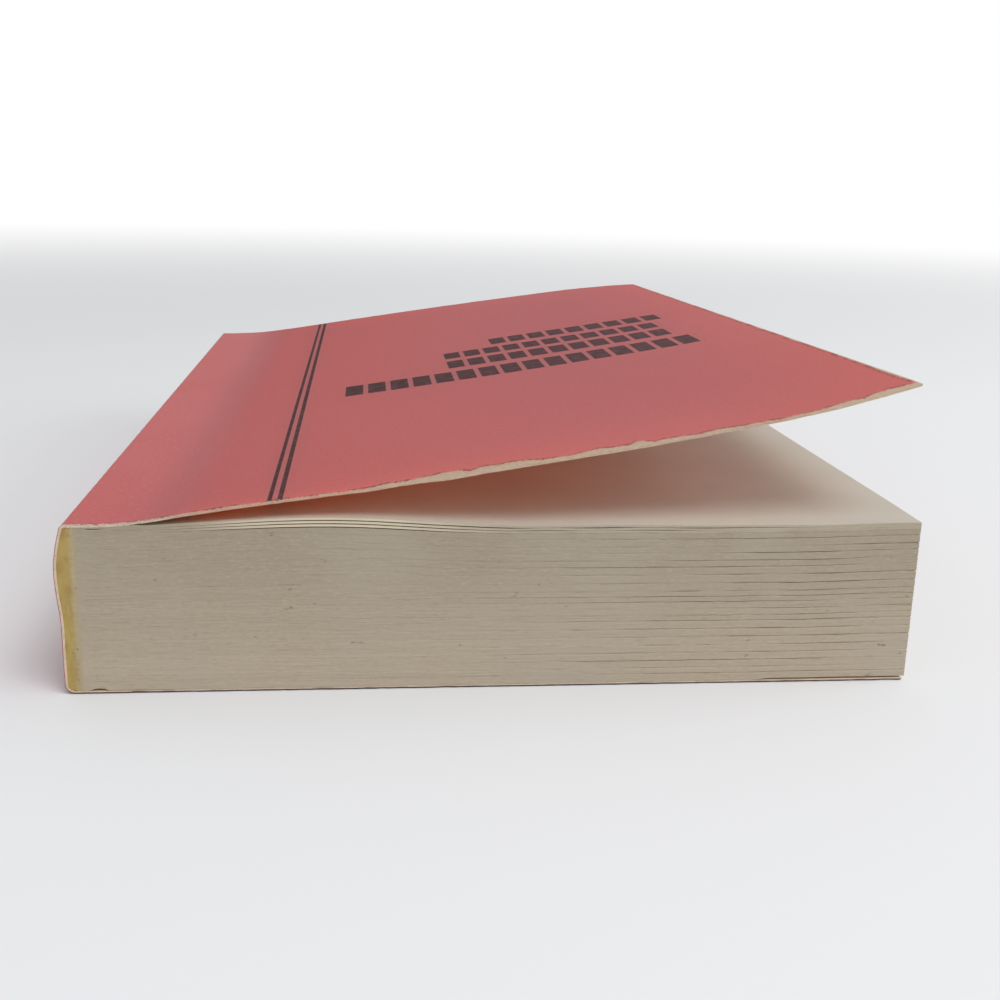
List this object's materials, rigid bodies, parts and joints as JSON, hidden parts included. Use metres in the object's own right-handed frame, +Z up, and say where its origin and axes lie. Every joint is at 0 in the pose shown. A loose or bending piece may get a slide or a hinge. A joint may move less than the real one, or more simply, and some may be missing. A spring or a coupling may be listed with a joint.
{
  "type": "paperback book",
  "caption": "Glued paperback lying on its back, with a worn card cover wrapped round a thick page block and the curled front cover ajar.",
  "frame": {"origin": "middle of the footprint, on the surface the back cover lies on", "axes": "+X from the spine to the fore-edge, +Y from the tail to the head, +Z up through the front cover"},
  "size_m": [0.1094, 0.178, 0.0402],
  "materials": {
    "pages": "matte aged pulp paper",
    "binding_glue": "yellowed hot-melt glue",
    "cover_card": "faded red printed card, white core where worn"
  },
  "bodies": {
    "bound_block": {"page_block": "pages", "spine_glue": "binding_glue", "cover_spine": "cover_card"},
    "front_cover": {"front_cover": "cover_card"},
    "back_cover": {"back_cover": "cover_card"}
  },
  "joints": [
    {"name": "front_cover_fold", "type": "hinge", "parent": "bound_block", "child": "front_cover", "pos_m": [-0.04619, 0, 0.022], "axis": [0, -1, 0], "range_deg": [-5, 165]},
    {"name": "back_cover_fold", "type": "hinge", "parent": "bound_block", "child": "back_cover", "pos_m": [-0.04619, 0, 0], "axis": [0, 1, 0], "range_deg": [0, 170]}
  ]
}
